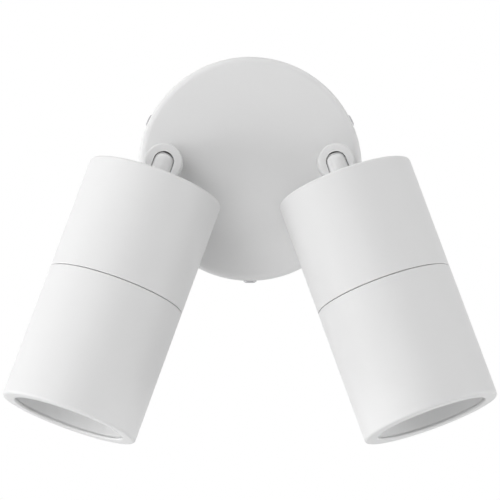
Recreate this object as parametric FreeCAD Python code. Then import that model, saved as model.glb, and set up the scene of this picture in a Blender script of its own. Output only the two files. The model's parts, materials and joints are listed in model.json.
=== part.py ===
"""A wall light with two spotlights on swivelling, tilting stems.

Millimetres, +Z up. The wall is the plane y = 0 and the light stands out of it towards -Y. The origin is the
middle of the wall bracket, on the wall. Each spotlight is made once in its own frame and carried to its side.
"""
import FreeCAD, Part
import math
import os

from FreeCAD import Matrix, Placement, Vector

os.makedirs("parts", exist_ok=True)

# ---- driving sizes ----

# canopy, sized to cover its bracket, and where the spotlights stand on it
canopy_depth = 24.0
canopy_wall = 2.0
canopy_edge = 3.0
gasket_thickness = 1.5
pivot_from_edge = 12.1
pivot_rise = 2.4
pivot_reach = 29.0
splay = 19.9
tilt = 12.0

# side screws of the canopy
side_screw_angles = (26.0, 154.0, 270.0)
side_screw_from_wall = 9.0
side_screw_radius = 1.75
side_screw_head_radius = 2.9
side_screw_head_height = 1.0
side_screw_length = 7.0

# wall bracket
bracket_thickness = 1.5
bracket_rim = 4.0
bracket_from_canopy = 7.5
bracket_arm_width = 11.0
bracket_tab_height = 14.0
wall_slot_spacing = 60.0
wall_slot_width = 4.5
wall_slot_length = 12.0
grommet_hole_radius = 7.0
grommet_bore_radius = 3.5
grommet_lip = 2.0
grommet_lip_thickness = 1.5

# terminal block, its brass sleeves and screws, and the earth screw
pole_pitch = 10.0
poles = 3
block_width = 16.0
block_height = 13.0
block_from_rim = 17.0
sleeve_radius = 2.6
sleeve_bore_radius = 1.7
sleeve_height = 5.5
sleeve_recess = 2.0
clamp_screw_radius = 1.3
clamp_screw_spacing = 7.0
clamp_well_radius = 2.0
block_screw_radius = 1.5
earth_screw_radius = 2.0
earth_screw_side = 16.0
earth_screw_drop = 17.0
earth_screw_length = 8.0
earth_washer_thickness = 1.0

# swivel post
post_radius = 8.0
post_front = 2.5
post_edge = 0.8
post_bore_radius = 4.5
post_bore_below_pivot = 14.0
spigot_radius = 5.0
spigot_bore_radius = 3.0
spigot_tail = 2.0
swivel_seal_inner = 5.8
swivel_seal_width = 1.4
swivel_seal_depth = 1.2
swivel_washer_radius = 8.2
swivel_washer_thickness = 1.0
swivel_nut_flats = 14.0
swivel_nut_thickness = 3.0
pivot_screw_radius = 1.5
pivot_point_radius = 1.2
pivot_screw_sunk = 0.3

# stem
stem_cut = 2.5
stem_bore_radius = 2.0
stem_spigot_radius = 3.0
stem_tail = 1.5
stem_washer_radius = 5.5
stem_washer_thickness = 1.0
stem_nut_flats = 10.0
stem_nut_thickness = 3.0
bush_lip_radius = 3.2
bush_lip_thickness = 0.75
bush_bore_radius = 1.5
bush_length = 4.0
pivot_skin = 0.5

# head, sized round its lamp
head_start = 10.1
rear_length = 50.3
barrel_length = 59.55
rear_wall = 3.0
rear_side_wall = 3.0
rear_edge = 1.2
seam = 0.3
seam_edge = 0.35
barrel_wall = 2.5
lamp_room = 2.5
neck_length = 10.0
neck_wall = 2.4
barrel_seal_from_seam = 1.8
barrel_seal_width = 1.8
barrel_seal_depth = 1.3

# front barrel and glass
opening_radius = 24.2
lip_thickness = 1.0
lip_outer_edge = 1.2
lip_inner_edge = 0.8
collar_radius = 24.6
collar_depth = 12.0
lens_thickness = 3.0
lens_gasket_width = 2.6
lens_gasket_thickness = 0.4
lens_edge = 0.5
retainer_width = 2.2
retainer_thickness = 1.2
retainer_groove = 0.8
retainer_gap_angle = 24.0

# lamp, lampholder and their bracket
lamp_radius = 25.0
lamp_length = 48.0
lamp_from_lens = 4.0
lamp_rim_height = 9.0
lamp_base_radius = 14.0
lamp_base_height = 11.0
lamp_crown = 1.5
contact_spacing = 10.0
contact_radius = 1.6
contact_head_radius = 2.4
contact_head_height = 2.5
contact_length = 7.0
holder_radius = 14.5
holder_height = 20.0
holder_edge = 1.5
holder_screw_spacing = 20.0
strip_width = 12.0
strip_thickness = 1.0
strip_half_width = 16.0
strip_foot_length = 7.5
strip_lead_hole_radius = 5.0
boss_height = 4.0
boss_radius = 3.2
small_screw_radius = 1.5
small_screw_head_radius = 2.7
small_screw_head_height = 1.8
small_screw_length = 5.0

# clearances: a turning or sliding fit, a thread, pieces laid side by side, and room to drop a piece in
running_fit = 0.08
thread_fit = 0.05
seat_gap = 0.1
loose_fit = 0.25

# ---- levels that several pieces share ----

TINY = 0.001
WHOLE_TURN = 360.0
HALF_TURN = 180.0
HEXAGON_SIDES = 6
AXIS = Vector(0, 0, 1)
SIDES = (("left", -1), ("right", 1))

bracket_radius = (wall_slot_spacing + wall_slot_length) / 2 + bracket_rim
block_rise = bracket_radius - block_from_rim
canopy_bore = bracket_radius + bracket_from_canopy
canopy_radius = canopy_bore + canopy_wall
pivot_side = canopy_radius - pivot_from_edge
stem_radius = post_bore_radius - running_fit
post_front_level = pivot_reach + post_front
canopy_inside_level = -canopy_wall
washer_level = canopy_inside_level - seat_gap - swivel_washer_thickness
nut_level = washer_level - swivel_nut_thickness
spigot_end_level = nut_level - spigot_tail

seam_level = head_start + rear_length
head_end = seam_level + barrel_length
rear_inside_level = head_start + rear_wall
stem_nut_level = rear_inside_level + stem_washer_thickness
stem_end_level = stem_nut_level + stem_nut_thickness + stem_tail
barrel_bore = lamp_radius + lamp_room
head_radius = barrel_bore + barrel_wall
neck_radius = barrel_bore - running_fit
glass_radius = barrel_bore - loose_fit
lip_level = head_end - lip_thickness
collar_level = head_end - collar_depth
glass_front_level = collar_level - lens_gasket_thickness
glass_back_level = glass_front_level - lens_thickness
retainer_level = glass_back_level - retainer_thickness
lamp_front_level = glass_back_level - lamp_from_lens
lamp_base_level = lamp_front_level - lamp_length
holder_level = lamp_base_level - holder_height
strip_level = holder_level - strip_thickness
foot_level = rear_inside_level + boss_height
foot_screw_side = strip_half_width + (strip_foot_length - strip_thickness) / 2


# ---- building blocks ----

def turned(outline):
    """Solid of revolution about the frame's Z from a closed outline of (radius, level) points."""
    points = [Vector(radius, 0, level) for radius, level in outline]
    face = Part.Face(Part.makePolygon(points + points[:1]))
    return face.revolve(Vector(0, 0, 0), AXIS, WHOLE_TURN)


def rod(radius, start, end, x=0.0, y=0.0):
    """Round bar along Z between two levels."""
    return Part.makeCylinder(radius, end - start, Vector(x, y, start), AXIS)


def ring(outer, inner, start, end):
    """Flat ring about Z between two levels."""
    return turned([(inner, start), (outer, start), (outer, end), (inner, end)])


def bar(x_low, x_high, y_low, y_high, z_low, z_high):
    """Rectangular block between two corners."""
    return Part.makeBox(x_high - x_low, y_high - y_low, z_high - z_low, Vector(x_low, y_low, z_low))


def hexagon(flats, start, end):
    """Hexagonal bar about Z between two levels."""
    corner = flats / 2 / math.cos(math.radians(HALF_TURN / HEXAGON_SIDES))
    angles = [2 * math.pi * k / HEXAGON_SIDES for k in range(HEXAGON_SIDES + 1)]
    outline = Part.makePolygon([Vector(corner * math.cos(a), corner * math.sin(a), start) for a in angles])
    return Part.Face(outline).extrude(Vector(0, 0, end - start))


def nut(flats, bore, start, end):
    """Hexagon nut with a round hole and its corners turned off at both faces."""
    corner = flats / 2 / math.cos(math.radians(HALF_TURN / HEXAGON_SIDES))
    drop = corner - flats / 2
    blank = turned([
        (bore, start), (flats / 2, start), (corner, start + drop / 2), (corner, end - drop / 2),
        (flats / 2, end), (bore, end),
    ])
    return hexagon(flats, start, end).common(blank)


def rims(shape, *places):
    """The round edges about Z that lie at the given (radius, level) places."""
    found = []
    for edge in shape.Edges:
        curve = edge.Curve
        if not isinstance(curve, Part.Circle) or math.hypot(curve.Center.x, curve.Center.y) > TINY:
            continue
        if any(abs(curve.Radius - r) < TINY and abs(curve.Center.z - z) < TINY for r, z in places):
            found.append(edge)
    return found


def rounded(shape, size, *places):
    """Round the rims at the given (radius, level) places."""
    return shape.makeFillet(size, rims(shape, *places))


def bevelled(shape, size, *places):
    """Cut a small bevel on the rims at the given (radius, level) places."""
    return shape.makeChamfer(size, rims(shape, *places))


def framed(shape, origin, x_axis, z_axis):
    """Carry a shape made about the world axes to a frame with the given +X and +Z."""
    y_axis = z_axis.cross(x_axis)
    rows = [(x_axis[i], y_axis[i], z_axis[i], origin[i]) for i in range(3)]
    placed = shape.copy()
    placed.Placement = Placement(Matrix(*rows[0], *rows[1], *rows[2], 0, 0, 0, 1)).multiply(shape.Placement)
    return placed


def to_wall(shape):
    """Frame of the pieces on the wall: X to the right, Y up, and the level is the distance from the wall."""
    return framed(shape, Vector(0, 0, 0), Vector(1, 0, 0), Vector(0, -1, 0))


def to_post(shape, side):
    """Frame of a swivel post: Z out of the canopy's face from that face, X along the slot, Y along the pivot."""
    lean = math.radians(splay)
    slot = Vector(side * math.sin(lean), 0, -math.cos(lean))
    return framed(shape, Vector(side * pivot_side, -canopy_depth, pivot_rise), slot, Vector(0, -1, 0))


def to_head(shape, side):
    """Frame of a head: Z from the pivot to the open end, X along the pivot, Y away from the wall."""
    lean, nod = math.radians(splay), math.radians(tilt)
    across = Vector(math.cos(lean), 0, side * math.sin(lean))
    axis = Vector(side * math.sin(lean) * math.cos(nod), -math.sin(nod), -math.cos(lean) * math.cos(nod))
    return framed(shape, Vector(side * pivot_side, -canopy_depth - pivot_reach, pivot_rise), across, axis)


def save(name, solids):
    """Write one sub-part, which may be a group of like solids."""
    shape = solids[0] if len(solids) == 1 else Part.makeCompound(solids)
    shape.exportStep("parts/" + name + ".step")


# ---- pieces on the wall ----

def around(shape, angle):
    """Turn a shape made at +X of the wall frame to an angle seen from the front, 0 at the right, 90 on top."""
    return shape.rotated(Vector(0, 0, 0), AXIS, angle)


def radial_rod(radius, start, end):
    """Round bar along +X between two distances from the middle, at the side screws' level."""
    return Part.makeCylinder(radius, end - start, Vector(start, 0, side_screw_from_wall), Vector(1, 0, 0))


def canopy():
    """Deep-drawn cup: rounded front edge, two bearing holes for the posts and three side screw holes."""
    inside_top = canopy_depth - canopy_wall
    cup = turned([
        (0, canopy_depth), (canopy_radius, canopy_depth), (canopy_radius, gasket_thickness),
        (canopy_bore, gasket_thickness), (canopy_bore, inside_top), (0, inside_top),
    ])
    cup = rounded(cup, canopy_edge, (canopy_radius, canopy_depth))
    cup = rounded(cup, canopy_edge - canopy_wall, (canopy_bore, inside_top))
    for side in (-1, 1):
        hole = rod(spigot_radius + running_fit, 0, canopy_depth, side * pivot_side, pivot_rise)
        cup = cup.cut(hole)
    for angle in side_screw_angles:
        cup = cup.cut(around(radial_rod(side_screw_radius + loose_fit, canopy_bore - canopy_wall,
                                        canopy_radius + canopy_wall), angle))
    return cup


def canopy_screw(angle):
    """Low domed screw with a hexagon socket, from outside the canopy into a tab of the bracket."""
    tip = canopy_radius - side_screw_length
    shank = radial_rod(side_screw_radius, tip, canopy_radius)
    crown = side_screw_head_height
    head = turned([
        (0, 0), (side_screw_head_radius, 0), (side_screw_head_radius, crown / 3),
        (side_screw_head_radius * 2 / 3, crown), (0, crown),
    ])
    head = head.cut(hexagon(side_screw_radius, crown / 3, crown))
    head = framed(head, Vector(canopy_radius, 0, side_screw_from_wall), AXIS, Vector(1, 0, 0))
    return around(shank.fuse(head).removeSplitter(), angle)


def wall_gasket():
    """Foam ring between the canopy's rear edge and the wall."""
    return ring(canopy_radius - loose_fit, canopy_bore, 0, gasket_thickness)


def slot_hole(x, width, length, depth):
    """Slotted hole along X, centred at x."""
    straight = (length - width) / 2
    ends = [rod(width / 2, 0, depth, x + s * straight) for s in (-1, 1)]
    return bar(x - straight, x + straight, -width / 2, width / 2, 0, depth).fuse(ends[0]).fuse(ends[1])


def wall_bracket():
    """Pressed steel disc with slots for the wall screws and three bent tabs that take the side screws."""
    half = bracket_arm_width / 2
    tab_face = math.sqrt((canopy_bore - loose_fit) ** 2 - half ** 2)
    tab_back = tab_face - bracket_thickness
    plate = rod(bracket_radius, 0, bracket_thickness)
    for angle in side_screw_angles:
        arm = bar(bracket_radius / 2, tab_face, -half, half, 0, bracket_thickness)
        tab = bar(tab_back, tab_face, -half, half, 0, bracket_tab_height)
        tab = tab.cut(radial_rod(side_screw_radius + thread_fit, tab_back - 1, tab_face + 1))
        plate = plate.fuse(around(arm.fuse(tab), angle))
    plate = plate.removeSplitter()
    for side in (-1, 1):
        plate = plate.cut(slot_hole(side * wall_slot_spacing / 2, wall_slot_width, wall_slot_length,
                                    bracket_thickness))
        plate = plate.cut(rod(block_screw_radius + thread_fit, 0, bracket_thickness, side * pole_pitch / 2,
                              block_rise))
    plate = plate.cut(rod(grommet_hole_radius, 0, bracket_thickness))
    return plate.cut(rod(earth_screw_radius + thread_fit, 0, bracket_thickness, earth_screw_side,
                         -earth_screw_drop))


def cable_grommet():
    """Rubber bush snapped into the bracket's middle hole, for the mains cable out of the wall."""
    lip = grommet_hole_radius + grommet_lip
    return turned([
        (grommet_bore_radius, 0), (grommet_hole_radius - loose_fit, 0),
        (grommet_hole_radius - loose_fit, bracket_thickness), (lip, bracket_thickness),
        (lip - grommet_lip / 2, bracket_thickness + grommet_lip_thickness),
        (grommet_bore_radius, bracket_thickness + 2 * grommet_lip_thickness),
    ])


def pole_places():
    """X of each pole of the terminal block."""
    return [(k - (poles - 1) / 2) * pole_pitch for k in range(poles)]


def clamp_places():
    """X and Y of each clamp screw of the terminal block."""
    return [(x, block_rise + s * clamp_screw_spacing / 2) for x in pole_places() for s in (-1, 1)]


def lengthwise_rod(radius, x):
    """Round bar along Y through the whole terminal block, at a pole's sleeve."""
    start = Vector(x, block_rise - block_width / 2, bracket_thickness + sleeve_height)
    return Part.makeCylinder(radius, block_width, start, Vector(0, 1, 0))


def terminal_block():
    """Moulded block with a channel for each brass sleeve, wells for the clamp screws and two screw holes."""
    half_length = poles * pole_pitch / 2
    top = bracket_thickness + block_height
    body = bar(-half_length, half_length, block_rise - block_width / 2, block_rise + block_width / 2,
               bracket_thickness, top)
    for x in pole_places():
        body = body.cut(lengthwise_rod(sleeve_radius + thread_fit, x))
    for x, y in clamp_places():
        body = body.cut(rod(clamp_well_radius, bracket_thickness + sleeve_height, top, x, y))
    for side in (-1, 1):
        body = body.cut(rod(block_screw_radius + thread_fit, bracket_thickness, top, side * pole_pitch / 2,
                            block_rise))
    return body


def terminal_sleeves():
    """Brass tube of each pole, with a tapped hole for each of its clamp screws."""
    sleeves = []
    for x in pole_places():
        length = block_width - 2 * sleeve_recess
        start = Vector(x, block_rise - length / 2, bracket_thickness + sleeve_height)
        tube = Part.makeCylinder(sleeve_radius, length, start, Vector(0, 1, 0))
        tube = tube.cut(lengthwise_rod(sleeve_bore_radius, x))
        for screw_x, y in clamp_places():
            if abs(screw_x - x) < TINY:
                tube = tube.cut(rod(clamp_screw_radius + thread_fit, bracket_thickness + sleeve_height,
                                    bracket_thickness + block_height, x, y))
        sleeves.append(tube)
    return sleeves


def terminal_screws():
    """Clamp screws, their slotted tops level with the block."""
    start = bracket_thickness + sleeve_height + sleeve_bore_radius / 2
    end = bracket_thickness + block_height - clamp_screw_radius
    screws = []
    for x, y in clamp_places():
        screw = rod(clamp_screw_radius, start, end, x, y)
        slot = bar(x - clamp_screw_radius, x + clamp_screw_radius, y - clamp_screw_radius / 4,
                   y + clamp_screw_radius / 4, end - clamp_screw_radius / 2, end)
        screws.append(screw.cut(slot))
    return screws


def pan_screw(radius, head_radius, head_height, length):
    """Pan-head screw pointing down from level 0, with a slot."""
    head = turned([
        (0, 0), (head_radius, 0), (head_radius, head_height / 2), (head_radius * 3 / 4, head_height),
        (0, head_height),
    ])
    slot = bar(-head_radius, head_radius, -radius / 4, radius / 4, head_height / 2, head_height)
    return rod(radius, -length, 0).fuse(head).cut(slot)


def block_screws():
    """Two screws that hold the terminal block on the bracket."""
    top = bracket_thickness + block_height
    screw = pan_screw(block_screw_radius, block_screw_radius + 1, block_screw_radius, top)
    return [screw.translated(Vector(side * pole_pitch / 2, block_rise, top)) for side in (-1, 1)]


def earth_screw():
    """Brass earth screw, with its cupped washer, in the bracket."""
    head_radius = 2 * earth_screw_radius
    screw = pan_screw(earth_screw_radius, head_radius, earth_screw_radius, earth_screw_length)
    washer = ring(head_radius + earth_washer_thickness, earth_screw_radius + thread_fit, 0,
                  earth_washer_thickness)
    spot = Vector(earth_screw_side, -earth_screw_drop, bracket_thickness)
    lift = spot + Vector(0, 0, earth_screw_length - bracket_thickness)
    return [screw.translated(lift), washer.translated(spot)]


# ---- pieces that turn with a swivel post, made in the post's frame ----

def pivot_axis_rod(radius, start, end):
    """Round bar along the post frame's Y at the pivot's level."""
    return Part.makeCylinder(radius, end - start, Vector(0, start, pivot_reach), Vector(0, 1, 0))


def swivel_post():
    """Round post with a threaded spigot, a lead passage, a bore for the stem's end and a U slot to tilt in."""
    post = turned([
        (0, spigot_end_level), (spigot_radius, spigot_end_level), (spigot_radius, seat_gap),
        (post_radius, seat_gap), (post_radius, post_front_level), (0, post_front_level),
    ])
    post = rounded(post, post_edge, (post_radius, post_front_level))
    passage = rod(spigot_bore_radius, spigot_end_level, post_front_level)
    bore = rod(post_bore_radius, pivot_reach - post_bore_below_pivot, post_front_level)
    slot_floor = Part.makeCylinder(post_bore_radius, post_radius, Vector(0, 0, pivot_reach), Vector(1, 0, 0))
    slot = bar(0, post_radius, -post_bore_radius, post_bore_radius, pivot_reach, post_front_level)
    groove = ring(swivel_seal_inner + swivel_seal_width, swivel_seal_inner, seat_gap,
                  seat_gap + swivel_seal_depth)
    hole = pivot_axis_rod(pivot_screw_radius + thread_fit, -post_radius, post_radius)
    for cutter in (passage, bore, slot_floor, slot, groove, hole):
        post = post.cut(cutter)
    return post


def pivot_screws():
    """Two short screws from the sides of the post, whose plain points carry the stem."""
    thread_start, head = post_bore_radius, post_radius - pivot_screw_sunk
    point = stem_bore_radius + pivot_skin + seat_gap
    socket = pivot_screw_radius / 2
    screws = []
    for side in (-1, 1):
        screw = turned([
            (0, point), (pivot_point_radius, point), (pivot_point_radius, thread_start),
            (pivot_screw_radius, thread_start), (pivot_screw_radius, head), (0, head),
        ]).cut(rod(socket, head - pivot_screw_radius, head))
        screws.append(framed(screw, Vector(0, 0, pivot_reach), AXIS, Vector(0, side, 0)))
    return screws


def swivel_seal():
    """Rubber ring in the groove of the post's foot, against the canopy's face."""
    inner = swivel_seal_inner + thread_fit
    outer = swivel_seal_inner + swivel_seal_width - thread_fit
    bevel = swivel_seal_width / 4
    low, high = thread_fit, seat_gap + swivel_seal_depth
    return turned([
        (inner + bevel, low), (outer - bevel, low), (outer, low + bevel), (outer, high), (inner, high),
        (inner, low + bevel),
    ])


def swivel_washer():
    """Friction washer between the nut and the inside of the canopy."""
    return ring(swivel_washer_radius, spigot_radius + thread_fit, washer_level,
                washer_level + swivel_washer_thickness)


def swivel_nut():
    """Thin lock nut on the post's spigot."""
    return nut(swivel_nut_flats, spigot_radius + thread_fit, nut_level, washer_level)


# ---- pieces of a head, made in the head's frame ----

def stem():
    """Round stem with a domed end cut flat for the bush, two pivot holes, a lead passage and a spigot."""
    bar_part = rod(stem_radius, 0, head_start)
    dome = Part.makeSphere(stem_radius).common(rod(stem_radius, -stem_cut, stem_radius))
    body = bar_part.fuse(dome).fuse(rod(stem_spigot_radius, head_start, stem_end_level)).removeSplitter()
    body = body.cut(rod(stem_bore_radius, -stem_cut, stem_end_level))
    for side in (-1, 1):
        start = Vector(side * (stem_bore_radius + pivot_skin), 0, 0)
        body = body.cut(Part.makeCylinder(pivot_point_radius + running_fit, stem_radius, start,
                                          Vector(side, 0, 0)))
    return body


def wire_bush():
    """Flanged plastic bush that keeps the leads off the stem's edge; its lip carries on the stem's dome."""
    bush = turned([
        (bush_bore_radius, -stem_cut - bush_lip_thickness), (bush_lip_radius, -stem_cut - bush_lip_thickness),
        (bush_lip_radius, -stem_cut), (stem_bore_radius, -stem_cut),
        (stem_bore_radius, bush_length - stem_cut), (bush_bore_radius, bush_length - stem_cut),
    ])
    return bush.common(Part.makeSphere(stem_radius))


def stem_washer():
    """Sealing washer between the nut and the inside of the rear wall."""
    return ring(stem_washer_radius, stem_spigot_radius + thread_fit, rear_inside_level, stem_nut_level)


def stem_nut():
    """Nut that holds the stem in the rear wall."""
    return nut(stem_nut_flats, stem_spigot_radius + thread_fit, stem_nut_level,
               stem_nut_level + stem_nut_thickness)


def rear_housing():
    """Cast cup with two bosses inside and a threaded neck for the front barrel, with a seal groove."""
    inner = head_radius - rear_side_wall
    neck_bore = neck_radius - neck_wall
    neck_end = seam_level + neck_length
    cup = turned([
        (0, head_start), (head_radius, head_start), (head_radius, seam_level), (neck_radius, seam_level),
        (neck_radius, neck_end), (neck_bore, neck_end), (neck_bore, seam_level - rear_side_wall),
        (inner, seam_level - 2 * rear_side_wall), (inner, rear_inside_level), (0, rear_inside_level),
    ])
    cup = rounded(cup, rear_edge, (head_radius, head_start))
    cup = bevelled(cup, seam_edge, (head_radius, seam_level), (neck_radius, neck_end))
    low = seam_level + barrel_seal_from_seam
    cup = cup.cut(ring(neck_radius, neck_radius - barrel_seal_depth, low, low + barrel_seal_width))
    for side in (-1, 1):
        boss = rod(boss_radius, rear_inside_level, foot_level, side * foot_screw_side)
        cup = cup.fuse(boss)
    for side in (-1, 1):
        cup = cup.cut(rod(small_screw_radius + thread_fit, foot_level - small_screw_length, foot_level,
                          side * foot_screw_side))
    return cup.cut(rod(stem_spigot_radius + thread_fit, head_start, rear_inside_level))


def barrel_seal():
    """Rubber ring in the groove of the rear housing's neck."""
    low = seam_level + barrel_seal_from_seam + thread_fit
    high = low + barrel_seal_width - 2 * thread_fit
    inner = neck_radius - barrel_seal_depth + thread_fit
    outer = neck_radius + running_fit / 2
    bevel = barrel_seal_width / 4
    return turned([
        (inner, low), (outer - bevel, low), (outer, low + bevel), (outer, high - bevel),
        (outer - bevel, high), (inner, high),
    ])


def lampholder_bracket():
    """Steel strip bent to a hat: two feet on the bosses and a platform for the lampholder."""
    half = strip_width / 2
    hat = bar(-strip_half_width, strip_half_width, -half, half, strip_level, holder_level)
    for side in (-1, 1):
        near, far = strip_half_width - strip_thickness, strip_half_width + strip_foot_length - strip_thickness
        leg = bar(*sorted((side * near, side * strip_half_width)), -half, half, foot_level, holder_level)
        foot = bar(*sorted((side * near, side * far)), -half, half, foot_level, foot_level + strip_thickness)
        hat = hat.fuse(leg).fuse(foot)
        hat = hat.cut(rod(small_screw_radius + loose_fit, foot_level, foot_level + strip_thickness,
                          side * foot_screw_side))
    hat = hat.removeSplitter()
    for side in (-1, 1):
        hat = hat.cut(rod(small_screw_radius + loose_fit, strip_level, holder_level,
                          side * holder_screw_spacing / 2))
    return hat.cut(rod(strip_lead_hole_radius, strip_level, holder_level))


def bracket_screws():
    """Two screws that hold the bracket's feet on the bosses."""
    screw = pan_screw(small_screw_radius, small_screw_head_radius, small_screw_head_height, small_screw_length)
    level = foot_level + strip_thickness
    return [screw.translated(Vector(side * foot_screw_side, 0, level)) for side in (-1, 1)]


def lampholder():
    """Ceramic twist-lock holder with two round contact wells and two tapped holes."""
    body = rounded(rod(holder_radius, holder_level, lamp_base_level), holder_edge,
                   (holder_radius, lamp_base_level))
    for side in (-1, 1):
        well = rod(contact_head_radius + loose_fit, lamp_base_level - contact_length - loose_fit,
                   lamp_base_level, side * contact_spacing / 2)
        tapped = rod(small_screw_radius + thread_fit, holder_level, holder_level + small_screw_length,
                     side * holder_screw_spacing / 2)
        body = body.cut(well).cut(tapped)
    return body


def lampholder_screws():
    """Two screws from below the platform into the lampholder."""
    screw = pan_screw(small_screw_radius, small_screw_head_radius, small_screw_head_height, small_screw_length)
    screw.rotate(Vector(0, 0, 0), Vector(1, 0, 0), HALF_TURN)
    return [screw.translated(Vector(side * holder_screw_spacing / 2, 0, strip_level)) for side in (-1, 1)]


def lamp():
    """Reflector lamp with a twist-lock base: base, flared body, rim, slightly crowned front, two contacts."""
    neck = lamp_base_level + lamp_base_height
    rim = lamp_front_level - lamp_rim_height
    body = turned([
        (0, lamp_base_level), (lamp_base_radius, lamp_base_level), (lamp_base_radius, neck),
        (lamp_radius, rim), (lamp_radius, lamp_front_level - lamp_crown), (lamp_radius - lamp_crown,
                                                                            lamp_front_level),
        (0, lamp_front_level),
    ])
    for side in (-1, 1):
        x, tip = side * contact_spacing / 2, lamp_base_level - contact_length
        body = body.fuse(rod(contact_radius, tip, lamp_base_level, x))
        body = body.fuse(rod(contact_head_radius, tip, tip + contact_head_height, x))
    return body.removeSplitter()


# ---- pieces that unscrew with the front barrel, made in the head's frame ----

def front_barrel():
    """Turned tube with a small inward lip, a plain collar in front of the glass and a groove for the spring
    ring behind it."""
    start = seam_level + seam
    tube = turned([
        (barrel_bore, start), (head_radius, start), (head_radius, head_end), (opening_radius, head_end),
        (opening_radius, lip_level), (collar_radius, lip_level), (collar_radius, collar_level),
        (barrel_bore, collar_level),
    ])
    tube = rounded(tube, lip_outer_edge, (head_radius, head_end))
    tube = rounded(tube, lip_inner_edge, (opening_radius, head_end))
    tube = bevelled(tube, seam_edge, (head_radius, start), (barrel_bore, start))
    return tube.cut(ring(barrel_bore + retainer_groove, barrel_bore, retainer_level - thread_fit,
                         glass_back_level))


def lens_gasket():
    """Silicone ring between the collar's shoulder and the glass."""
    return ring(glass_radius, glass_radius - lens_gasket_width, glass_front_level, collar_level)


def lens():
    """Flat toughened glass with bevelled edges."""
    glass = rod(glass_radius, glass_back_level, glass_front_level)
    return bevelled(glass, lens_edge, (glass_radius, glass_back_level))


def lens_retainer():
    """Spring ring in the barrel's groove that holds the glass on its gasket, open at one side with two eyes."""
    outer = barrel_bore + retainer_groove - thread_fit
    inner = barrel_bore - retainer_width
    high = retainer_level + retainer_thickness
    hoop = ring(outer, inner, retainer_level, high)
    half = math.radians(retainer_gap_angle / 2)
    reach = 2 * head_radius
    wedge = Part.Face(Part.makePolygon([
        Vector(0, 0, retainer_level), Vector(reach * math.cos(half), -reach * math.sin(half), retainer_level),
        Vector(reach * math.cos(half), reach * math.sin(half), retainer_level), Vector(0, 0, retainer_level),
    ])).extrude(Vector(0, 0, retainer_thickness))
    hoop = hoop.cut(wedge)
    for side in (-1, 1):
        x, y = inner * math.cos(half), side * inner * math.sin(half)
        eye = rod(retainer_width, retainer_level, high, x, y).cut(wedge)
        hoop = hoop.fuse(eye).removeSplitter()
    return hoop


# ---- writing the parts ----

def main():
    save("canopy", [to_wall(canopy())])
    save("canopy_screws", [to_wall(canopy_screw(angle)) for angle in side_screw_angles])
    save("wall_gasket", [to_wall(wall_gasket())])
    save("wall_bracket", [to_wall(wall_bracket())])
    save("cable_grommet", [to_wall(cable_grommet())])
    save("terminal_block", [to_wall(terminal_block())])
    save("terminal_sleeves", [to_wall(solid) for solid in terminal_sleeves()])
    save("terminal_screws", [to_wall(solid) for solid in terminal_screws()])
    save("block_screws", [to_wall(solid) for solid in block_screws()])
    save("earth_screw", [to_wall(solid) for solid in earth_screw()])
    for name, side in SIDES:
        for piece in (swivel_post, swivel_seal, swivel_washer, swivel_nut):
            save(piece.__name__ + "_" + name, [to_post(piece(), side)])
        save("pivot_screws_" + name, [to_post(screw, side) for screw in pivot_screws()])
        for piece in (stem, wire_bush, stem_washer, stem_nut, rear_housing, barrel_seal, lampholder_bracket,
                      lampholder, lamp, front_barrel, lens_gasket, lens, lens_retainer):
            save(piece.__name__ + "_" + name, [to_head(piece(), side)])
        for group in (bracket_screws, lampholder_screws):
            save(group.__name__ + "_" + name, [to_head(screw, side) for screw in group()])


main()
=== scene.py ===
"""A wall light with two pivoting spotlights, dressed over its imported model."""
import json
import math

import bpy
import numpy as np
from mathutils import Matrix, Vector


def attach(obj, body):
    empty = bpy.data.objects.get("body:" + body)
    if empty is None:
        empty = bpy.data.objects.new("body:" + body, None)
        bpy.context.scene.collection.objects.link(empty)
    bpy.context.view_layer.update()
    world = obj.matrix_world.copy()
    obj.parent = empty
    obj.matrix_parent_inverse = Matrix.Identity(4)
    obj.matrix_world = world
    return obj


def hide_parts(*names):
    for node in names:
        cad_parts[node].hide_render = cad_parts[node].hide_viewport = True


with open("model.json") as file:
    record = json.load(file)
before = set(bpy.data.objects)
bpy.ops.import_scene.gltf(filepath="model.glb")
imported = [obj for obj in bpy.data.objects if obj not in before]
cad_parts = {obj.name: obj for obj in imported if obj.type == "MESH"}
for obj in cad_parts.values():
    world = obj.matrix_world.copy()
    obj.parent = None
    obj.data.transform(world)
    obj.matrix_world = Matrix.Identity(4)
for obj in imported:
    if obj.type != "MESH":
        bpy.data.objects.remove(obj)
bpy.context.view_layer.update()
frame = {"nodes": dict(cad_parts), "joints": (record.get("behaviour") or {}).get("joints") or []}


# ---- wall bracket ----
# Pressed steel, zinc plated, screwed to the wall; its three tabs take the canopy's side screws. The packed
# solid has its real shape, so it gets only its finish.
class Wire:
    """An output in a node tree; arithmetic on it adds Math nodes."""

    def __init__(self, wiring, socket):
        self.wiring, self.socket = wiring, socket

    def math(self, operation, *values):
        return self.wiring.node("ShaderNodeMath", {"operation": operation}, *values)

    def __add__(self, other):
        return self.math("ADD", self, other)

    def __sub__(self, other):
        return self.math("SUBTRACT", self, other)

    def __rsub__(self, other):
        return self.math("SUBTRACT", other, self)

    def __mul__(self, other):
        return self.math("MULTIPLY", self, other)

    __radd__, __rmul__ = __add__, __mul__


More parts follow.
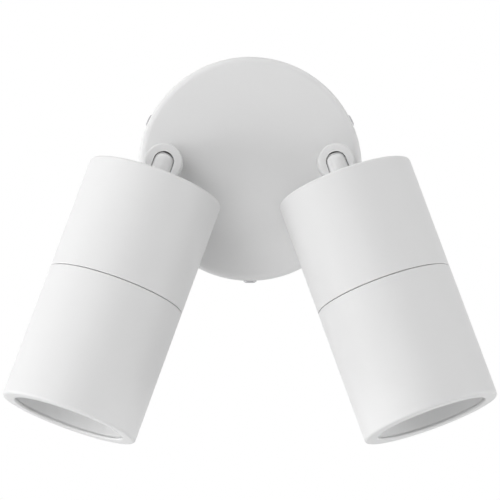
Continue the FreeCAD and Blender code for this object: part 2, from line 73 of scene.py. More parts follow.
class Wiring:
    """A node tree being filled."""

    def __init__(self, tree):
        self.tree = tree

    def node(self, kind, settings, *values, output=None, **named):
        """Add a node: its settings first, then values or wires for the sockets in use, by order or name."""
        node = self.tree.nodes.new(kind)
        for key, value in settings.items():
            setattr(node, key, value)
        sockets = list(zip([socket for socket in node.inputs if socket.enabled], values))
        sockets += [(node.inputs[key.replace("_", " ")], value) for key, value in named.items()]
        for socket, value in sockets:
            if isinstance(value, Wire):
                self.tree.links.new(value.socket, socket)
            else:
                socket.default_value = value
        outputs = [socket for socket in node.outputs if socket.enabled and output in (None, socket.name)]
        return Wire(self, outputs[0]) if outputs else None


class Finish(Wiring):
    """A material with one Principled shader, whose fixed sockets are given by name."""

    def __init__(self, name, **fixed):
        self.material = bpy.data.materials.new(name)
        self.material.use_nodes = True
        super().__init__(self.material.node_tree)
        self.shader = self.tree.nodes["Principled BSDF"]
        for socket, value in fixed.items():
            self.shader.inputs[socket.replace("_", " ")].default_value = value
        self.place = self.node("ShaderNodeTexCoord", {}, output="Object")

    def noise(self, scale, detail=2.0):
        """Cloudy pattern from 0 to 1; scale is in waves to the metre."""
        return self.node("ShaderNodeTexNoise", {}, Vector=self.place, Scale=scale, Detail=detail)

    def blend(self, share, low, high):
        """Colour between two colours by a share from 0 to 1."""
        return self.node("ShaderNodeMix", {"data_type": "RGBA"}, share, (*low, 1), (*high, 1))

    def drive(self, socket, wire):
        """Let a wire set one of the shader's sockets."""
        self.tree.links.new(wire.socket, self.shader.inputs[socket])

    def relief(self, height, depth, strength=1.0):
        """Raise the surface by a height pattern, depth metres from 0 to 1."""
        bump = self.node("ShaderNodeBump", {}, Height=height, Distance=depth, Strength=strength)
        self.drive("Normal", bump)
        return self.material


def bare_metal(name, dark, light, roughness):
    """Plain metal whose tone and gloss drift, with a very fine grain."""
    finish = Finish(name, Metallic=1.0)
    cloud, fine = finish.noise(180, 4), finish.noise(2600, 3)
    finish.drive("Base Color", finish.blend(cloud, dark, light))
    finish.drive("Roughness", cloud * 0.16 + (roughness - 0.08))
    return finish.relief(fine, 0.00001)


def dress(node, finish):
    """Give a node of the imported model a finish."""
    piece = frame["nodes"][node]
    if not piece.material_slots:
        piece.data.materials.append(finish)
    for place in piece.material_slots:
        place.material = finish


zinc = bare_metal("zinc_plate", (0.50, 0.51, 0.53), (0.72, 0.73, 0.74), 0.38)
dress("wall_bracket", zinc)


# ---- cable grommet ----
# A black rubber ring, pushed into the bracket's cable hole from the front, that keeps the mains cable off the
# steel edge.
def dull_rubber(name, dark, light, roughness=0.75, grain=1800):
    """Rubber, silicone or foam: matt, with a fine skin."""
    finish = Finish(name, Specular_IOR_Level=0.35)
    skin = finish.noise(grain, 3)
    finish.drive("Base Color", finish.blend(skin, dark, light))
    finish.drive("Roughness", skin * 0.15 + (roughness - 0.07))
    return finish.relief(skin, 0.00006)


black_rubber = dull_rubber("black_rubber", (0.012, 0.012, 0.013), (0.03, 0.03, 0.032))
dress("cable_grommet", black_rubber)


# ---- terminal block and earth screw ----
# A moulded polyamide block with brass sleeves and plated screws, screwed to the bracket above the cable hole,
# and a brass earth screw beside it.
def moulded_plastic(name, dark, light, roughness=0.42):
    """Plain moulded plastic with a slightly mottled gloss."""
    finish = Finish(name)
    mottle, fine = finish.noise(120, 3), finish.noise(1400, 2)
    finish.drive("Base Color", finish.blend(mottle, dark, light))
    finish.drive("Roughness", mottle * 0.12 + (roughness - 0.06))
    return finish.relief(fine, 0.00002)


nylon = moulded_plastic("natural_nylon", (0.78, 0.78, 0.73), (0.84, 0.84, 0.80))
brass = bare_metal("turned_brass", (0.60, 0.42, 0.17), (0.80, 0.61, 0.30), 0.30)
for node, finish in (("terminal_block", nylon), ("terminal_sleeves", brass), ("terminal_screws", zinc),
                     ("block_screws", zinc), ("earth_screw", brass)):
    dress(node, finish)


# ---- canopy ----
# A deep-drawn aluminium cup, white powder coated, with a rounded front edge. Two bearing holes take the posts
# and three small holes in its wall take the side screws.
MM = 0.001
SIDES = ("left", "right")
HAIR, FINE, BROKEN, EASED = 0.05, 0.1, 0.2, 0.3  # edge roundings, from nearly sharp to soft
CUT_PAST = 1  # how far a cutter runs past the surface it opens
ON_AXIS = 1e-6  # a radius below this lies on the axis
STRAIGHT = math.pi / 2 - 0.01  # a corner whose half angle is above this counts as a straight line
CANOPY_RADIUS, CANOPY_DEPTH, CANOPY_WALL, CANOPY_EDGE = 49.5, 24.0, 2.0, 3.0
CANOPY_FLAT = 0.7  # share of the radius with an extra ring, which keeps the face flat in the light
GASKET_THICKNESS = 1.5
POST_HOLE_RADIUS = 5.08
SCREW_ANGLES = (26.0, 154.0, 270.0)
SCREW_FROM_WALL = 9.0
SCREW_HOLE_RADIUS = 2.0

joint_of = {joint["name"]: joint for joint in frame["joints"]}
canopy_bore = CANOPY_RADIUS - CANOPY_WALL


def powder_coat():
    """White powder coat: an even satin white with a very fine, shallow texture."""
    finish = Finish("powder_coat", Specular_IOR_Level=0.5)
    grain, drift = finish.noise(1500), finish.noise(45)
    finish.drive("Base Color", finish.blend(drift, (0.815, 0.815, 0.815), (0.835, 0.835, 0.835)))
    finish.drive("Roughness", 0.54 - grain * 0.08)
    return finish.relief(grain, 0.00003, 0.5)


def turned_outline(corners, arc_steps=6, inset=0.12):
    """Points along a closed outline of (radius, level, rounding) corners.
    A rounded corner becomes an arc tangent to its two sides, centred on the corner's bisector. A straight
    side gets a point a little inside each of its ends, so that smooth shading stays flat along it."""
    corners = [tuple(c) + (0.0,) * (3 - len(c)) for c in corners]
    points = []
    for k, (radius, level, rounding) in enumerate(corners):
        here = np.array((radius, level))
        back = np.array(corners[k - 1][:2]) - here
        ahead = np.array(corners[(k + 1) % len(corners)][:2]) - here
        back_length, ahead_length = np.linalg.norm(back), np.linalg.norm(ahead)
        back, ahead = back / back_length, ahead / ahead_length
        half = math.acos(np.clip(back @ ahead, -1, 1)) / 2
        if rounding and half < STRAIGHT:
            run = rounding / math.tan(half)
            centre = here + (back + ahead) / np.linalg.norm(back + ahead) * rounding / math.sin(half)
            first, last = here + back * run - centre, here + ahead * run - centre
            sweep = math.pi - 2 * half
            share = np.linspace(0, 1, arc_steps + 1)[:, None]
            spread = np.sin((1 - share) * sweep) * first + np.sin(share * sweep) * last
            arc = centre + spread / math.sin(sweep)
        else:
            run, arc = 0.0, here[None]
        if back_length > 3 * inset + run:
            points.append((here + back * (run + inset))[None])
        points.append(arc)
        if ahead_length > 3 * inset + run:
            points.append((here + ahead * (run + inset))[None])
    return np.vstack(points)


def mesh_piece(name, vertices, faces, sharp=35):
    """Object from vertex and face arrays, wound so that its volume is positive, creased past an angle."""
    mesh = bpy.data.meshes.new(name)
    mesh.from_pydata(vertices.tolist(), [], faces)
    mesh.validate()
    corner = np.array([[face[0], face[k], face[k + 1]]
                       for face in faces for k in range(1, len(face) - 1)])
    a, b, c = (vertices[corner[:, k]] for k in range(3))
    if (a * np.cross(b, c)).sum() < 0:
        mesh.flip_normals()
    mesh.shade_smooth()
    mesh.set_sharp_from_angle(angle=math.radians(sharp))
    piece = bpy.data.objects.new(name, mesh)
    bpy.context.scene.collection.objects.link(piece)
    return piece


def grid_faces(rows, columns, closed_rows):
    """Quads between neighbouring rows and columns; columns close on themselves, rows too if asked."""
    row = np.arange(rows if closed_rows else rows - 1)
    r, c = np.meshgrid(row, np.arange(columns), indexing="ij")
    ahead, beside = (r + 1) % rows, (c + 1) % columns
    quads = [r * columns + c, r * columns + beside, ahead * columns + beside, ahead * columns + c]
    return np.stack(quads, -1).reshape(-1, 4).tolist()


def lathe(name, corners, around=128, arc_steps=6, sharp=35):
    """Surface of revolution: outline point (r, z) at angle a is (r cos a, r sin a, z).
    An outline whose first and last corners lie on the axis is closed there with one point and a fan."""
    line = turned_outline(corners, arc_steps)
    on_axis = line[:, 0] < ON_AXIS
    capped = on_axis.any()
    if capped:
        line = np.roll(line, -int(np.flatnonzero(on_axis & ~np.roll(on_axis, -1))[0]), axis=0)
        line = np.vstack([line[:1], line[line[:, 0] >= ON_AXIS], line[-1:]])
        poles, line = line[[0, -1]], line[1:-1]
    angle = np.linspace(0, 2 * np.pi, around, endpoint=False)
    radius, level = line[:, :1], line[:, 1:]
    points = np.stack([radius * np.cos(angle), radius * np.sin(angle), level + 0 * angle], -1)
    points = points.reshape(-1, 3)
    faces = grid_faces(len(line), around, not capped)
    if capped:
        first, last = len(points), len(points) + 1
        points = np.vstack([points, [[0, 0, poles[0][1]], [0, 0, poles[1][1]]]])
        end = (len(line) - 1) * around
        faces += [[first, (k + 1) % around, k] for k in range(around)]
        faces += [[last, end + k, end + (k + 1) % around] for k in range(around)]
    return mesh_piece(name, points, faces, sharp)


def round_bar(radius, start, end, x=0.0, y=0.0, around=64):
    """Plain cylinder along Z, used to cut holes."""
    piece = lathe("cutter", [(0, start), (radius, start), (radius, end), (0, end)], around)
    piece.data.transform(Matrix.Translation((x, y, 0)))
    return piece


def turn(piece, degrees, axis):
    """Turn a piece's mesh about an axis of its own frame."""
    piece.data.transform(Matrix.Rotation(math.radians(degrees), 4, axis))
    return piece


def baked(piece):
    """Replace a piece's mesh by the mesh its modifiers make."""
    shape = bpy.data.meshes.new_from_object(piece.evaluated_get(bpy.context.evaluated_depsgraph_get()))
    piece.modifiers.clear()
    piece.data = shape
    return piece


def carve(piece, *cutters, sharp=35):
    """Cut the cutters out of a piece, one after another."""
    for cutter in cutters:
        cut = piece.modifiers.new("cut", "BOOLEAN")
        cut.operation, cut.solver, cut.object = "DIFFERENCE", "EXACT", cutter
        bpy.context.view_layer.update()
        baked(piece)
        bpy.data.objects.remove(cutter)
    piece.data.set_sharp_from_angle(angle=math.radians(sharp))
    return piece


def own_frame(origin, x_axis, z_axis):
    """Matrix from a piece's frame in millimetres to the light's frame in metres."""
    x, z = Vector(x_axis).normalized(), Vector(z_axis).normalized()
    columns = Matrix((x, z.cross(x), z)).transposed().to_4x4()
    return Matrix.Translation(origin) @ columns @ Matrix.Scale(MM, 4)


def settle(piece, where, body, slot, finish, *nodes):
    """Put a piece in its place, on its body, with its finish, in place of the plainer solids named."""
    piece.data.transform(where)
    piece.data.update()
    piece.data.materials.clear()
    piece.data.materials.append(finish)
    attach(piece, body)
    if nodes:
        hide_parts(*nodes)
    return piece


def side_hole(angle):
    """Cutter for one screw hole in the canopy's wall."""
    inside, outside = CANOPY_RADIUS - 2 * CANOPY_WALL, CANOPY_RADIUS + CANOPY_WALL
    bar = turn(round_bar(SCREW_HOLE_RADIUS, inside, outside), 90, "Y")
    bar.data.transform(Matrix.Translation((0, 0, SCREW_FROM_WALL)))
    return turn(bar, angle, "Z")


white = powder_coat()
on_wall = own_frame((0, 0, 0), (1, 0, 0), (0, -1, 0))
canopy = lathe("canopy_shell", [
    (0, CANOPY_DEPTH), (CANOPY_RADIUS * CANOPY_FLAT, CANOPY_DEPTH),
    (CANOPY_RADIUS, CANOPY_DEPTH, CANOPY_EDGE),
    (CANOPY_RADIUS, GASKET_THICKNESS, EASED), (canopy_bore, GASKET_THICKNESS, EASED),
    (canopy_bore, CANOPY_DEPTH - CANOPY_WALL, CANOPY_EDGE - CANOPY_WALL), (0, CANOPY_DEPTH - CANOPY_WALL),
], around=192, arc_steps=12)
pivots = [Vector(joint_of["tilt_" + side]["pos_m"]) / MM for side in SIDES]
carve(canopy, *[round_bar(POST_HOLE_RADIUS, 0, CANOPY_DEPTH + CANOPY_WALL, p.x, p.z) for p in pivots],
      *[side_hole(angle) for angle in SCREW_ANGLES])
settle(canopy, on_wall, "base", "white_coat", white, "canopy")


# ---- canopy gasket ----
# A flat ring of pale closed-cell foam, cut from sheet and stuck to the canopy's rear edge, where it takes up
# the roughness of the wall.
GASKET_INSET = 0.25

foam = dull_rubber("pale_foam", (0.60, 0.60, 0.59), (0.78, 0.78, 0.77), 0.9, 2600)
gasket = lathe("foam_ring", [
    (canopy_bore, 0, EASED), (CANOPY_RADIUS - GASKET_INSET, 0, EASED),
    (CANOPY_RADIUS - GASKET_INSET, GASKET_THICKNESS, BROKEN), (canopy_bore, GASKET_THICKNESS, BROKEN),
], around=160)
settle(gasket, on_wall, "base", "foam", foam, "wall_gasket")


# ---- side screws ----
# Three low domed stainless screws, turned and then given hexagon sockets. They go through the canopy's wall
# into the bracket's tabs and hold the canopy.
SCREW_RADIUS, SCREW_LENGTH = 1.75, 7.0
SCREW_HEAD_RADIUS, SCREW_HEAD_HEIGHT = 2.9, 1.0
HEAD_UNDERSIDE, HEAD_UNDERSIDE_EDGE, HEAD_SIDE = 0.02, 0.15, 0.4
CROWN_SHARE, CROWN_EDGE = 0.7, 0.6
SCREW_SOCKET, SOCKET_FLOOR = 2.0, 0.35


def prism(outline, start, end):
    """Straight bar along Z over a flat outline of (x, y) points, used to cut sockets."""
    flat = np.array(outline, float)
    count = len(flat)
    points = np.vstack([np.column_stack([flat, np.full(count, z)]) for z in (start, end)])
    sides = [[k, (k + 1) % count, count + (k + 1) % count, count + k] for k in range(count)]
    ends = [list(range(count))[::-1], list(range(count, 2 * count))]
    return mesh_piece("cutter", points, sides + ends)


def hexagon_bar(flats, start, end):
    """Hexagonal bar along Z, used to cut sockets."""
    angle = np.arange(6) * np.pi / 3  # six corners, a sixth of a turn apart
    corner = flats / math.sqrt(3)
    return prism(np.column_stack([corner * np.cos(angle), corner * np.sin(angle)]), start, end)


stainless = bare_metal("stainless_screw", (0.30, 0.30, 0.31), (0.46, 0.46, 0.47), 0.34)
for number, angle in enumerate(SCREW_ANGLES):
    screw = lathe(f"side_screw_{number}", [
        (0, -SCREW_LENGTH), (SCREW_RADIUS, -SCREW_LENGTH, EASED), (SCREW_RADIUS, 0),
        (SCREW_HEAD_RADIUS, HEAD_UNDERSIDE, HEAD_UNDERSIDE_EDGE), (SCREW_HEAD_RADIUS, HEAD_SIDE, BROKEN),
        (SCREW_HEAD_RADIUS * CROWN_SHARE, SCREW_HEAD_HEIGHT, CROWN_EDGE), (0, SCREW_HEAD_HEIGHT),
    ], around=64)
    carve(screw, hexagon_bar(SCREW_SOCKET, SOCKET_FLOOR, 2 * SCREW_HEAD_HEIGHT))
    turn(screw, 90, "Y").data.transform(Matrix.Translation((CANOPY_RADIUS, 0, SCREW_FROM_WALL)))
    turn(screw, angle, "Z")
    settle(screw, on_wall, "base", "screw_steel", stainless,
           *(["canopy_screws"] if number == 0 else []))


# ---- swivel posts ----
# Turned aluminium, white powder coated. The foot turns on the canopy; the front end is bored for the stem and
# slotted towards the head, with a round-bottomed slot level with the pivot.
POST_RADIUS, POST_BORE_RADIUS = 8.0, 4.5
POST_FRONT, POST_FOOT = 2.5, -28.9
POST_EDGE, POST_FOOT_EDGE, POST_BORE_EDGE, SPIGOT_EDGE = 0.8, 0.25, 0.15, 0.6
POST_BORE_FLOOR = -14.0
SPIGOT_RADIUS, SPIGOT_BORE_RADIUS, SPIGOT_END = 5.0, 3.0, -37.1
SEAL_INNER, SEAL_OUTER, SEAL_DEPTH = 5.8, 7.2, 1.2
PIN_RADIUS, PIN_GAP = 1.5, 0.05
SLOT_START = -0.05  # a hair past the pivot's level, so that the slot and its round floor overlap


def in_post(side):
    """Frame of a swivel post at rest: origin at the pivot, Z out of the wall, Y along the pivot screws."""
    pivot, across = joint_of["tilt_" + side]["pos_m"], -Vector(joint_of["tilt_" + side]["axis"])
    out = Vector((0, -1, 0))
    return own_frame(pivot, across.cross(out), out)


def swivel_post(name):
    """Lathe turned from foot to front, then slotted from the pivot outwards and drilled for the screws."""
    post = lathe(name, [
        (SPIGOT_BORE_RADIUS, SPIGOT_END, BROKEN), (SPIGOT_RADIUS, SPIGOT_END, SPIGOT_EDGE),
        (SPIGOT_RADIUS, POST_FOOT), (SEAL_INNER, POST_FOOT), (SEAL_INNER, POST_FOOT + SEAL_DEPTH),
        (SEAL_OUTER, POST_FOOT + SEAL_DEPTH), (SEAL_OUTER, POST_FOOT),
        (POST_RADIUS, POST_FOOT, POST_FOOT_EDGE), (POST_RADIUS, POST_FRONT, POST_EDGE),
        (POST_BORE_RADIUS, POST_FRONT, POST_BORE_EDGE), (POST_BORE_RADIUS, POST_BORE_FLOOR),
        (SPIGOT_BORE_RADIUS, POST_BORE_FLOOR),
    ], around=96)
    wide, past = POST_BORE_RADIUS, POST_RADIUS + CUT_PAST
    slot = prism([(SLOT_START, -wide), (past, -wide), (past, wide), (SLOT_START, wide)],
                 0, POST_FRONT + CUT_PAST)
    floor = turn(round_bar(wide, 0, past, around=96), 90, "Y")
    pins = turn(round_bar(PIN_RADIUS + PIN_GAP, -past, past, around=48), 90, "X")
    return carve(post, floor, slot, pins)


spring_steel = bare_metal("spring_steel", (0.20, 0.20, 0.21), (0.34, 0.34, 0.35), 0.36)
for side in SIDES:
    settle(swivel_post("post_" + side), in_post(side), "post_" + side, "white_coat", white,
           "swivel_post_" + side)
    dress("swivel_seal_" + side, black_rubber)
    dress("swivel_washer_" + side, spring_steel)
    dress("swivel_nut_" + side, zinc)


# ---- pivot screws ----
# Two short stainless screws in each post, turned and then given hexagon sockets. They are screwed in from
# both sides, and their plain points carry the stem.
PIN_POINT_RADIUS, PIN_TIP, PIN_HEAD = 1.2, 2.6, 7.7
PIN_SOCKET, PIN_SOCKET_DEPTH = 1.5, 1.2

for side in SIDES:
    for number, half_turn in enumerate((0, 180)):
        pin = lathe(f"pivot_screw_{side}_{number}", [
            (0, PIN_TIP), (PIN_POINT_RADIUS, PIN_TIP, BROKEN), (PIN_POINT_RADIUS, POST_BORE_RADIUS),
            (PIN_RADIUS, POST_BORE_RADIUS), (PIN_RADIUS, PIN_HEAD, BROKEN), (0, PIN_HEAD),
        ], around=48)
        carve(pin, hexagon_bar(PIN_SOCKET, PIN_HEAD - PIN_SOCKET_DEPTH, PIN_HEAD + CUT_PAST))
        turn(turn(pin, -90, "X"), half_turn, "Z")
        settle(pin, in_post(side), "post_" + side, "screw_steel", stainless,
               *(["pivot_screws_" + side] if number == 0 else []))


# ---- stems ----
# White powder-coated rods with a domed end, cut flat where the leads leave it. A nut inside the head holds
# each by its spigot, and two blind holes take the points of the pivot screws.
STEM_RADIUS, STEM_CUT, STEM_BORE_RADIUS = 4.42, 2.5, 2.0
HEAD_START, STEM_SPIGOT_RADIUS, STEM_END = 10.1, 3.0, 18.6
STEM_SHOULDER, STEM_END_EDGE = 0.02, 0.4
POINT_GAP, TIP_GAP = 0.08, 0.1


def in_head(side):
    """Frame of a head at rest: origin at the pivot, Z towards the open end, X along the pivot screws."""
    tilt, turn_joint = joint_of["tilt_" + side], joint_of["barrel_turn_" + side]
    return own_frame(tilt["pos_m"], -Vector(tilt["axis"]), turn_joint["axis"])


def stem(name):
    """Lathe turned about the head's axis; the dome is a quarter circle as far as the flat cut."""
    lowest = math.asin(STEM_CUT / STEM_RADIUS)
    dome = [(STEM_RADIUS * math.cos(a), -STEM_RADIUS * math.sin(a)) for a in np.linspace(lowest, 0, 16)]
    rod = lathe(name, [(STEM_BORE_RADIUS, -STEM_CUT)] + dome + [
        (STEM_RADIUS, HEAD_START - STEM_SHOULDER), (STEM_SPIGOT_RADIUS, HEAD_START),
        (STEM_SPIGOT_RADIUS, STEM_END, STEM_END_EDGE), (STEM_BORE_RADIUS, STEM_END, BROKEN),
    ], around=96)
    for half_turn in (0, 180):
        hole = round_bar(PIN_POINT_RADIUS + POINT_GAP, PIN_TIP - TIP_GAP, STEM_RADIUS + CUT_PAST, around=48)
        carve(rod, turn(turn(hole, 90, "Y"), half_turn, "Z"))
    return rod


for side in SIDES:
    settle(stem("stem_rod_" + side), in_head(side), "head_" + side, "white_coat", white, "stem_" + side)
    dress("stem_washer_" + side, black_rubber)
    dress("stem_nut_" + side, zinc)


# ---- wire bushes ----
# A flanged white plastic bush pushed into each stem's flat end keeps the leads off the metal edge. A fine
# groove parts its lip from the stem.
BUSH_BORE_RADIUS, BUSH_LIP_RADIUS, BUSH_GROOVE_RADIUS = 1.5, 3.2, 2.75
BUSH_TOP, BUSH_LIP_FOOT, BUSH_END = -3.25, -2.85, 1.5
BUSH_BEVEL_IN, BUSH_BEVEL_DOWN = 0.21, 0.2

bush_white = moulded_plastic("bush_white", (0.80, 0.80, 0.80), (0.85, 0.85, 0.85), 0.35)
for side in SIDES:
    bush = lathe("bush_" + side, [
        (BUSH_BORE_RADIUS, BUSH_TOP, BROKEN), (BUSH_LIP_RADIUS - BUSH_BEVEL_IN, BUSH_TOP, FINE),
        (BUSH_LIP_RADIUS, BUSH_TOP + BUSH_BEVEL_DOWN, FINE), (BUSH_LIP_RADIUS, BUSH_LIP_FOOT),
        (BUSH_GROOVE_RADIUS, BUSH_LIP_FOOT), (BUSH_GROOVE_RADIUS, -STEM_CUT),
        (STEM_BORE_RADIUS, -STEM_CUT), (STEM_BORE_RADIUS, BUSH_END), (BUSH_BORE_RADIUS, BUSH_END),
    ], around=64)
    settle(bush, in_head(side), "head_" + side, "bush_plastic", bush_white, "wire_bush_" + side)


# ---- rear housings ----
# The upper half of each head: a cast cup, white powder coated, with two bosses inside for the lampholder's
# bracket. Its turned neck has a groove for the seal and carries the thread, made as a helical sleeve.
HEAD_RADIUS, SEAM_LEVEL, HEAD_END = 30.0, 60.4, 119.95
HEAD_EDGE, SEAM_EDGE, REAR_INNER_EDGE = 1.2, 0.35, 1.0
REAR_FLAT = 0.8  # share of the radius with an extra ring, which keeps the rear face flat in the light
STEM_HOLE_RADIUS = 3.05
NECK_RADIUS, NECK_CORE, NECK_BORE, NECK_END = 27.42, 26.7, 25.02, 70.4
THREAD_PITCH, THREAD_START, THREAD_SHOULDER = 1.5, 64.75, 0.2
THREAD_GAP, THREAD_FIRST, THREAD_LAST = 0.03, 0.3, 0.4
SEAL_LOW, SEAL_HIGH, SEAL_FLOOR = 62.2, 64.0, 26.12
REAR_WALL, REAR_INNER = 3.0, 27.0
BOSS_OFFSET, BOSS_RADIUS, BOSS_HOLE_RADIUS, BOSS_END = 19.25, 3.2, 1.55, 17.1
BOSS_SUNK = 0.2


def rear_housing(name):
    """Lathe turned from the stem's hole outwards, down the side, along the neck and back up inside."""
    return lathe(name, [
        (STEM_HOLE_RADIUS, HEAD_START), (HEAD_RADIUS * REAR_FLAT, HEAD_START),
        (HEAD_RADIUS, HEAD_START, HEAD_EDGE), (HEAD_RADIUS, SEAM_LEVEL, SEAM_EDGE),
        (NECK_RADIUS, SEAM_LEVEL, FINE), (NECK_RADIUS, SEAL_LOW, FINE),
        (SEAL_FLOOR, SEAL_LOW), (SEAL_FLOOR, SEAL_HIGH), (NECK_RADIUS, SEAL_HIGH, FINE),
        (NECK_RADIUS, THREAD_START, FINE), (NECK_CORE, THREAD_START + THREAD_SHOULDER),
        (NECK_CORE, NECK_END, EASED), (NECK_BORE, NECK_END, EASED), (NECK_BORE, SEAM_LEVEL - REAR_WALL),
        (REAR_INNER, SEAM_LEVEL - 2 * REAR_WALL), (REAR_INNER, HEAD_START + REAR_WALL, REAR_INNER_EDGE),
        (STEM_HOLE_RADIUS, HEAD_START + REAR_WALL),
    ], around=192, arc_steps=8)


def screw_thread(name, core, crest, low, high, pitch, around=96, steps=8):
    """Helical sleeve: at angle a and level z the radius rises from core to crest as a triangle wave of
    z / pitch - a / turn, with its roots and crests cut flat, and fades to its root in the first and last
    half turn. The root stands a skin above the core, and the inside is plain, a wall below the core."""
    skin, wall, slope, root = 0.02, 0.3, 1.3, 0.15
    rows = int((high - low) / pitch * steps)
    level = np.linspace(low, high, rows + 1)[:, None]
    angle = np.linspace(0, 2 * np.pi, around, endpoint=False)
    wave = np.abs(((level - low) / pitch - angle / (2 * np.pi)) % 1 * 2 - 1)
    fade = np.clip(np.minimum(level - low, high - level) / (pitch / 2), 0, 1)
    outer = core + skin + (crest - core - skin) * np.clip(wave * slope - root, 0, 1) * fade
    inner = np.full((2, around), core - wall)
    radius = np.vstack([outer, inner])
    height = np.vstack([level + 0 * angle, np.full((1, around), high), np.full((1, around), low)])
    points = np.stack([radius * np.cos(angle), radius * np.sin(angle), height], -1).reshape(-1, 3)
    return mesh_piece(name, points, grid_faces(len(radius), around, True), sharp=80)


for side in SIDES:
    settle(rear_housing("upper_can_" + side), in_head(side), "head_" + side, "white_coat", white,
           "rear_housing_" + side)
    for number, across in enumerate((-BOSS_OFFSET, BOSS_OFFSET)):
        boss = lathe(f"bracket_boss_{side}_{number}", [
            (BOSS_HOLE_RADIUS, HEAD_START + REAR_WALL - BOSS_SUNK),
            (BOSS_RADIUS, HEAD_START + REAR_WALL - BOSS_SUNK),
            (BOSS_RADIUS, BOSS_END, EASED), (BOSS_HOLE_RADIUS, BOSS_END, BROKEN),
        ], around=48)
        boss.data.transform(Matrix.Translation((across, 0, 0)))
        settle(boss, in_head(side), "head_" + side, "white_coat", white)
    thread = screw_thread("neck_thread_" + side, NECK_CORE, NECK_RADIUS - THREAD_GAP,
                          THREAD_START + THREAD_FIRST, NECK_END - THREAD_LAST, THREAD_PITCH)
    settle(thread, in_head(side), "head_" + side, "white_coat", zinc)


# ---- barrel seals ----
# A black rubber ring with rounded edges, stretched into the groove of each neck. It stands a little proud of
# the neck and seals the joint with the front barrel.
RING_GAP, RING_PROUD, RING_EDGE = 0.05, 0.04, 0.6

for side in SIDES:
    seal = lathe("neck_seal_" + side, [
        (SEAL_FLOOR + RING_GAP, SEAL_LOW + RING_GAP, EASED),
        (NECK_RADIUS + RING_PROUD, SEAL_LOW + RING_GAP, RING_EDGE),
        (NECK_RADIUS + RING_PROUD, SEAL_HIGH - RING_GAP, RING_EDGE),
        (SEAL_FLOOR + RING_GAP, SEAL_HIGH - RING_GAP, EASED),
    ], around=128)
    settle(seal, in_head(side), "seal_" + side, "dark_rubber", black_rubber, "barrel_seal_" + side)


# ---- lamp, lampholder, its bracket and screws ----
# A ceramic twist-lock holder on a bent steel strip inside each head carries the lamp, which is seen through
# the front glass.
steatite = moulded_plastic("steatite", (0.76, 0.74, 0.68), (0.84, 0.83, 0.78), 0.55)
lamp_white = moulded_plastic("lamp_white", (0.80, 0.80, 0.80), (0.86, 0.86, 0.86), 0.3)
for side in SIDES:
    for node, finish in (("lampholder_bracket_", zinc), ("bracket_screws_", zinc), ("lampholder_", steatite),
                         ("lampholder_screws_", zinc), ("lamp_", lamp_white)):
        dress(node + side, finish)


# ---- front barrels ----
# The lower half of each head: a turned tube, white powder coated, with a small inward lip at the open end, a
# fine relief groove and a plain collar between the lip and the glass, and a groove for the spring ring.
LIP_RADIUS, LIP_LEVEL, LIP_EDGE, BARREL_BORE = 24.2, 118.95, 0.8, 27.5
COLLAR_RADIUS, COLLAR_LEVEL = 24.6, 107.95
RELIEF_RADIUS, RELIEF_LEVEL = 25.1, 118.35
GLASS_FRONT, GLASS_BACK, GLASS_RADIUS = 107.55, 104.55, 27.25
RETAINER_BACK, GROOVE_RADIUS = 103.3, 28.3
SEAM = 0.3

for side in SIDES:
    barrel = lathe("lower_can_" + side, [
        (BARREL_BORE, SEAM_LEVEL + SEAM, SEAM_EDGE), (HEAD_RADIUS, SEAM_LEVEL + SEAM, SEAM_EDGE),
        (HEAD_RADIUS, HEAD_END, HEAD_EDGE), (LIP_RADIUS, HEAD_END, LIP_EDGE), (LIP_RADIUS, LIP_LEVEL, HAIR),
        (RELIEF_RADIUS, LIP_LEVEL), (RELIEF_RADIUS, RELIEF_LEVEL), (COLLAR_RADIUS, RELIEF_LEVEL, HAIR),
        (COLLAR_RADIUS, COLLAR_LEVEL, FINE), (BARREL_BORE, COLLAR_LEVEL),
        (BARREL_BORE, GLASS_BACK), (GROOVE_RADIUS, GLASS_BACK), (GROOVE_RADIUS, RETAINER_BACK),
        (BARREL_BORE, RETAINER_BACK),
    ], around=192, arc_steps=8)
    settle(barrel, in_head(side), "barrel_" + side, "white_coat", white, "front_barrel_" + side)


# ---- front glasses, their gaskets and spring rings ----
# Toughened glass, lightly frosted inside, bedded on a milky silicone ring against the collar's shoulder and
# held there by a spring ring in the barrel's groove.
def frosted_glass():
    """Glass with a soft frost: partly clear, with a faint cloud in its tone."""
    finish = Finish("frosted_glass", Roughness=0.28, IOR=1.5, Transmission_Weight=0.55)
    finish.drive("Base Color", finish.blend(finish.noise(60), (0.80, 0.81, 0.81), (0.84, 0.85, 0.85)))
    return finish.relief(finish.noise(1200), 0.00001)


GLASS_BACK_EDGE = 0.5

glass = frosted_glass()
silicone = dull_rubber("milky_silicone", (0.66, 0.66, 0.65), (0.74, 0.74, 0.73), 0.5)
for side in SIDES:
    pane = lathe("front_glass_" + side, [
        (0, GLASS_BACK), (GLASS_RADIUS, GLASS_BACK, GLASS_BACK_EDGE),
        (GLASS_RADIUS, GLASS_FRONT, EASED), (0, GLASS_FRONT),
    ], around=128)
    settle(pane, in_head(side), "barrel_" + side, "lens_glass", glass, "lens_" + side)
    dress("lens_gasket_" + side, silicone)
    dress("lens_retainer_" + side, spring_steel)


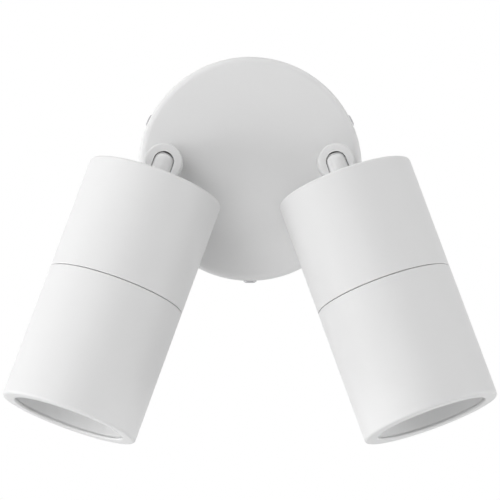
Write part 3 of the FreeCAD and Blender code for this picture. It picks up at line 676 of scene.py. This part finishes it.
# ---- studio ----
# A pale floor well below the light, which only throws soft light back, a white backdrop for the eye and for
# reflections, soft lamps, and the camera of the photograph: level, straight on, below the canopy's middle.
FRAME_PIXELS, FOCAL_PIXELS, SENSOR_MM = 500, 3529.6, 36.0
CAMERA_DISTANCE, CAMERA_DROP = 1556.9, 35.86
LIT_POINT = Vector((0, -0.05, -0.03))
LAMP_DISTANCE = 1.8  # metres
FLOOR_SIZE, FLOOR_LEVEL = 6, -0.6  # metres
WORLD_FILL = 0.05
LAMPS = (  # name, angle to the right of the camera, angle above it, watts, size in metres
    ("left_high", -90, 62, 10.7, 0.9),
    ("left_side", -100, -10, 10.2, 0.9),
    ("left_low", -62, -10, 10.6, 0.9),
    ("key", -28, 20, 10.5, 1.2),
    ("front_low", -3, -14, 4.5, 0.9),
    ("right_high", 90, 62, 8.4, 0.9),
    ("right_side", 93, -13, 10.6, 0.9),
    ("right_low", 62, 0, 5.2, 1.1),
)


def soft_lamp(name, round_angle, rise_angle, watts, size):
    """Square area lamp on a sphere round the light, facing its middle: place = middle +
    distance (cos e sin a, -cos e cos a, sin e) for the angle a to the right of the camera and e above it."""
    data = bpy.data.lights.new(name, "AREA")
    data.energy, data.size = watts, size
    lamp = bpy.data.objects.new(name, data)
    bpy.context.scene.collection.objects.link(lamp)
    a, e = math.radians(round_angle), math.radians(rise_angle)
    way = Vector((math.cos(e) * math.sin(a), -math.cos(e) * math.cos(a), math.sin(e)))
    lamp.location = LIT_POINT + way * LAMP_DISTANCE
    lamp.rotation_euler = way.to_track_quat("Z", "Y").to_euler()


def studio_world(fill):
    """White to the camera and to mirrored and transmitted rays, a soft grey fill to everything else."""
    world = bpy.data.worlds.new("studio")
    bpy.context.scene.world = world
    world.use_nodes = True
    world.node_tree.nodes.clear()
    sky = Wiring(world.node_tree)
    seen_white = sky.node("ShaderNodeLightPath", {}, output="Is Camera Ray")
    for ray in ("Is Glossy Ray", "Is Transmission Ray"):
        seen_white = seen_white.math("MAXIMUM", seen_white, sky.node("ShaderNodeLightPath", {}, output=ray))
    backdrop = sky.node("ShaderNodeBackground", {}, (1, 1, 1, 1), 1.0)
    lit = sky.node("ShaderNodeBackground", {}, (1, 1, 1, 1), fill)
    sky.node("ShaderNodeOutputWorld", {}, sky.node("ShaderNodeMixShader", {}, seen_white, lit, backdrop))


def pale_floor():
    """A matt floor that throws light back up; the eye, mirrors and glass see the white backdrop past it."""
    finish = Finish("pale_floor", Roughness=0.8)
    finish.drive("Base Color", finish.blend(finish.noise(2), (0.84, 0.84, 0.84), (0.88, 0.88, 0.88)))
    bpy.ops.mesh.primitive_plane_add(size=FLOOR_SIZE, location=(0, 0, FLOOR_LEVEL))
    floor = bpy.context.object
    floor.name = "floor"
    floor.data.materials.append(finish.material)
    floor.visible_camera = floor.visible_glossy = floor.visible_transmission = False


studio_world(WORLD_FILL)
pale_floor()
for lamp_values in LAMPS:
    soft_lamp(*lamp_values)

camera = bpy.data.objects.new("camera", bpy.data.cameras.new("camera"))
bpy.context.scene.collection.objects.link(camera)
camera.data.sensor_fit, camera.data.sensor_width = "HORIZONTAL", SENSOR_MM
camera.data.lens = FOCAL_PIXELS / FRAME_PIXELS * SENSOR_MM
camera.location = (0, -(CANOPY_DEPTH + CAMERA_DISTANCE) * MM, -CAMERA_DROP * MM)
camera.rotation_euler = (math.pi / 2, 0, 0)
bpy.context.scene.camera = camera
bpy.context.scene.view_settings.view_transform = "Standard"
